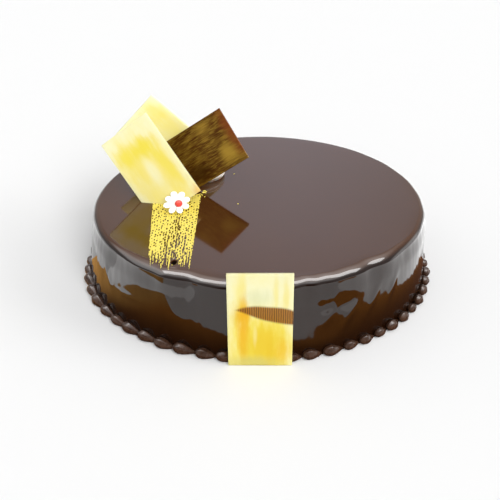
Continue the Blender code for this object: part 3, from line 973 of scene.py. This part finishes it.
def brush_stroke():
    width = (STROKE_BACK_RIGHT - STROKE_BACK_LEFT).length
    length = (STROKE_FRONT_LEFT - STROKE_BACK_LEFT).length
    bm = bmesh.new()
    bmesh.ops.create_grid(bm, x_segments=round(width / STROKE_CELL),
                          y_segments=round(length / STROKE_CELL), size=0.5)
    missed = []
    for face in bm.faces:
        middle = face.calc_center_median()
        across, along = middle.x + 0.5, 0.5 - middle.y
        if not stroke_covers(across, along, *stroke_point(across, along)):
            missed.append(face)
    bmesh.ops.delete(bm, geom=missed, context="FACES")
    for vertex in bm.verts:
        x, y = stroke_point(vertex.co.x + 0.5, 0.5 - vertex.co.y)
        vertex.co = Vector((x, y, glaze_surface(x, y)))
    for _ in range(2):
        border = [v for v in bm.verts if v.is_boundary]
        bmesh.ops.smooth_vert(bm, verts=border, factor=0.5, use_axis_x=True, use_axis_y=True)
    film = bmesh.ops.extrude_face_region(bm, geom=bm.faces[:])
    raised = [item for item in film["geom"] if isinstance(item, bmesh.types.BMVert)]
    for vertex in raised:
        bristle = unevenness(vertex.co.x / (0.8 * MM), vertex.co.y / (9.0 * MM), 1.0)
        vertex.co.z += STROKE_FILM * (1.0 + 0.45 * bristle)
    bmesh.ops.recalc_face_normals(bm, faces=bm.faces)
    return bm


BRUSHED_YELLOW = two_tone_material("brushed_yellow", STROKE_YELLOWS, STROKE_GRAIN, IOR=1.46)
new_piece("brush_stroke", brush_stroke(), [BRUSHED_YELLOW])


# ----------------------------------------------------------------------
# The crumbs: a pinch of broken golden sugar that fell by the foot of the left plaque, and a few
# strays on the glaze. Each is a small ball knocked out of round, lying where it fell.
CRUMB_HEAP = Vector((-34.6, 10.5)) * MM
CRUMB_COUNT = 9
# Where single crumbs lie, in millimetres.
STRAY_CRUMBS = ((-15.9, 37.6), (-12.6, -5.6), (-33.5, 4.2))
CRUMB_SIZE = 0.50 * MM


def add_crumb(bm, x, y, size, rng):
    crumb = bmesh.ops.create_icosphere(bm, subdivisions=2, radius=size)["verts"]
    shift = Vector((rng.uniform(0, 9), rng.uniform(0, 9), 0.0))
    for vertex in crumb:
        vertex.co *= 1.0 + 0.5 * noise.noise(vertex.co / size + shift)
        vertex.co.z *= 0.6
    bmesh.ops.translate(bm, verts=crumb, vec=(x, y, glaze_height(x, y) + 0.35 * size))


def golden_crumbs(rng):
    bm = bmesh.new()
    for _ in range(CRUMB_COUNT):
        away = Vector((rng.gauss(0.0, 0.9), rng.gauss(0.0, 1.8))) * MM
        add_crumb(bm, CRUMB_HEAP.x + away.x, CRUMB_HEAP.y + away.y, CRUMB_SIZE * rng.uniform(0.6, 1.3), rng)
    for x, y in STRAY_CRUMBS:
        add_crumb(bm, x * MM, y * MM, 0.7 * CRUMB_SIZE, rng)
    return bm


new_piece("golden_crumbs", golden_crumbs(random.Random(3)), [BRUSHED_YELLOW])


# ----------------------------------------------------------------------
# The studio: a pale floor under even white light, a key and a fill. The gloss sees a lit backdrop,
# a softbox overhead, shade above the viewer, pale cards beside the cake and in front of it, and a
# warm card round its foot.
CAMERA_PLACE = Vector((-1.1, -568.9, 330.4)) * MM
CAMERA_PITCH = math.radians(29.3)
CAMERA_TURN = math.radians(0.44)
CAMERA_ROLL = math.radians(-0.28)
CAMERA_LENS = 74.1
FLOOR_SIZE = 6.0
FLOOR_WHITE = (0.85, 0.85, 0.85, 1.0)
# The warm card: its place, its colours near the cake (painted shadow of the cake), at the left (painted
# light) and far off, and their ranges.
CARD_SIZE = (254.0 * MM, 138.0 * MM)
CARD_CENTRE = Vector((-4.6, -61.0)) * MM
CARD_NEAR_SHADOW = (0.09, 0.022, 0.001)
CARD_LEFT_LIGHT = (1.0, 0.50, 0.12)
CARD_FAR = (0.78, 0.28, 0.030)
CARD_LEFT_RANGE = (-122.0 * MM, -92.0 * MM)
CARD_NEAR_RADIUS = 110.0 * MM
CARD_FAR_RADIUS = 148.0 * MM
EVEN_LIGHT = 0.55
BACKDROP_LIGHT = (0.38, 0.42, 0.57)
BACKDROP_CENTRE = 0.025
BACKDROP_HALF_WIDTH = 0.125
# How the backdrop fades in and then dims going up: from and to what rise, first and last share.
BACKDROP_FADES = ((0.58, 0.74, 0.0, 1.0), (0.95, 1.03, 1.0, 0.55))
RING_LIGHT = 0.56
VIEWER_SIDE_LIGHT = 0.8
# Soft lights that only the gloss sees: where each is, its inner and outer half angle, how bright.
GLOSS_LIGHTS = (
    ((0.05, 0.24, 0.97), 10.0, 43.0, 3.0),
    ((0.93, 0.34, 0.10), 8.0, 24.0, 1.8),
    ((-0.64, 0.20, 0.74), 6.0, 26.0, 2.8),
)
VIEWER_SHADE = ((0.0, -0.87, 0.42), 20.0, 48.0, 0.54)
# Pale cards that only the gloss sees: size and centre in millimetres, how bright.
SIDE_CARDS = (
    ((700.0, 330.0), (-481.6, -195.0), 1.20),
    ((700.0, 700.0), (-481.6, 320.0), 0.40),
    ((700.0, 700.0), (472.4, 0.0), 0.90),
    ((254.0, 700.0), (-4.6, -480.0), 0.42),
)
CARD_WHITE = (1.0, 1.0, 1.0, 1.0)
SOFTBOX_PLACE = Vector((0.12, 0.27, 1.1))
SOFTBOX_SIZE = (1.34, 0.40)
SOFTBOX_LIGHT = 8.5
KEY_FROM = Vector((0.40, -1.20, 1.0))
KEY_SOFTNESS = math.radians(35.0)
KEY_LIGHT = 2.4
FILL_FROM = Vector((1.0, -0.2, 0.5))
FILL_LIGHT = 1.0


def stage_plane(name, size, centre, height, material):
    """A flat plane of the studio; only the floor is seen by more than the gloss."""
    bm = bmesh.new()
    bmesh.ops.create_grid(bm, x_segments=1, y_segments=1, size=0.5)
    bmesh.ops.scale(bm, verts=bm.verts, vec=(*size, 1.0))
    bmesh.ops.translate(bm, verts=bm.verts, vec=(*centre, height))
    plane = make_object(name, bm, [material])
    plane.visible_camera = plane.visible_diffuse = plane.visible_shadow = name == "floor"


def add_lamp(name, kind, glossy, **values):
    """A lamp that either the gloss or the plain shading sees, linked into the scene."""
    lamp = bpy.data.lights.new(name, kind)
    for key, value in values.items():
        setattr(lamp, key, value)
    light = bpy.data.objects.new(name, lamp)
    light.visible_glossy = glossy
    light.visible_diffuse = not glossy
    bpy.context.scene.collection.objects.link(light)
    return light


def add_lobe(tree, direction, aim, inner, outer, light):
    """Light that is even within one angle of an aim and gone beyond another."""
    dot = add_node(tree, "ShaderNodeVectorMath", operation="DOT_PRODUCT", Vector=direction)
    dot.inputs[1].default_value = Vector(aim).normalized()
    low, high = math.cos(math.radians(outer)), math.cos(math.radians(inner))
    return smooth_range(tree, dot.outputs["Value"], low, high, 0.0, light)


def white_surroundings():
    """Even white light for the shading; a lit backdrop, soft lights and shade for the gloss."""
    world = bpy.data.worlds.new("white_studio")
    world.use_nodes = True
    tree = world.node_tree
    direction = add_node(tree, "ShaderNodeTexCoord").outputs["Generated"]
    parts = split(tree, direction)
    rise = add_math(tree, "ADD", parts["Z"], add_math(tree, "MULTIPLY", parts["Y"], 0.55))
    aside = add_math(tree, "SUBTRACT", parts["X"], BACKDROP_CENTRE)
    aside = add_math(tree, "ABSOLUTE", aside, 0.0)
    backdrop = smooth_range(tree, aside, 0.0, 2.0 * BACKDROP_HALF_WIDTH, 1.0, 0.12)
    for low, high, first, last in BACKDROP_FADES:
        backdrop = add_math(tree, "MULTIPLY", backdrop, smooth_range(tree, rise, low, high, first, last))
    plain = smooth_range(tree, rise, 0.0, 0.10, VIEWER_SIDE_LIGHT, RING_LIGHT)
    plain = add_math(tree, "SUBTRACT", plain, add_lobe(tree, direction, *VIEWER_SHADE))
    for light in GLOSS_LIGHTS:
        plain = add_math(tree, "ADD", plain, add_lobe(tree, direction, *light))
    plain = add_node(tree, "ShaderNodeCombineXYZ", X=plain, Y=plain, Z=plain).outputs["Vector"]
    lit = add_node(tree, "ShaderNodeVectorMath", operation="SCALE", Vector=BACKDROP_LIGHT, Scale=backdrop)
    seen = add_math(tree, "ADD", plain, lit.outputs["Vector"], "ShaderNodeVectorMath")
    glossy = add_node(tree, "ShaderNodeLightPath").outputs["Is Glossy Ray"]
    light = add_mix(tree, glossy, (EVEN_LIGHT, EVEN_LIGHT, EVEN_LIGHT), seen)
    tree.links.new(light, tree.nodes["Background"].inputs["Color"])
    bpy.context.scene.world = world


def card_material():
    """Warm card, darker near the cake as painted shadow of the cake and lighter at the left as painted light;
    seen from above only, so that the floor stays even.
    """
    material, tree, shader = new_material("warm_card", Roughness=0.9)
    place = object_place(tree)
    away = add_node(tree, "ShaderNodeVectorMath", operation="LENGTH", Vector=place).outputs["Value"]
    # Painted shadow near the cake and painted light towards the left.
    far = smooth_range(tree, away, CARD_NEAR_RADIUS, CARD_FAR_RADIUS, 0.0, 1.0)
    left = smooth_range(tree, split(tree, place)["X"], *CARD_LEFT_RANGE, 1.0, 0.0)
    colour = add_mix(tree, left, add_mix(tree, far, CARD_NEAR_SHADOW, CARD_FAR), CARD_LEFT_LIGHT)
    tree.links.new(colour, shader.inputs["Base Color"])
    below = add_node(tree, "ShaderNodeNewGeometry").outputs["Backfacing"]
    mix = add_node(tree, "ShaderNodeMixShader", Fac=below)
    tree.links.new(shader.outputs["BSDF"], mix.inputs[1])
    tree.links.new(add_node(tree, "ShaderNodeBsdfTransparent").outputs["BSDF"], mix.inputs[2])
    tree.links.new(mix.outputs["Shader"], tree.nodes["Material Output"].inputs["Surface"])
    return material


def studio():
    floor_paint = new_material("pale_floor", Base_Color=FLOOR_WHITE, Roughness=0.8, Specular_IOR_Level=0.0)[0]
    stage_plane("floor", (FLOOR_SIZE, FLOOR_SIZE), (0.0, 0.0), -0.10 * MM, floor_paint)
    stage_plane("warm_card", CARD_SIZE, CARD_CENTRE, -0.05 * MM, card_material())
    for size, centre, light in SIDE_CARDS:
        white_card = new_material("side_card", Emission_Color=CARD_WHITE, Emission_Strength=light)[0]
        stage_plane("side_card", Vector(size) * MM, Vector(centre) * MM, -0.05 * MM, white_card)
    width, depth = SOFTBOX_SIZE
    softbox = add_lamp("softbox", "AREA", True, shape="RECTANGLE", size=width, size_y=depth,
                       energy=SOFTBOX_LIGHT * math.pi * width * depth)
    softbox.location = SOFTBOX_PLACE
    for name, place, light in (("key", KEY_FROM, KEY_LIGHT), ("fill", FILL_FROM, FILL_LIGHT)):
        lamp = add_lamp(name, "SUN", False, energy=light, angle=KEY_SOFTNESS)
        lamp.rotation_euler = place.to_track_quat("Z", "Y").to_euler()
    white_surroundings()
    lens = bpy.data.cameras.new("camera")
    lens.lens = CAMERA_LENS
    lens.sensor_width = 36.0
    camera = bpy.data.objects.new("camera", lens)
    tilt = Matrix.Rotation(0.5 * math.pi - CAMERA_PITCH, 4, "X")
    turn = Matrix.Rotation(CAMERA_TURN, 4, "Z")
    roll = Matrix.Rotation(CAMERA_ROLL, 4, "Z")
    camera.matrix_world = Matrix.Translation(CAMERA_PLACE) @ turn @ tilt @ roll
    bpy.context.scene.collection.objects.link(camera)
    bpy.context.scene.camera = camera
    bpy.context.scene.view_settings.view_transform = "Standard"


studio()
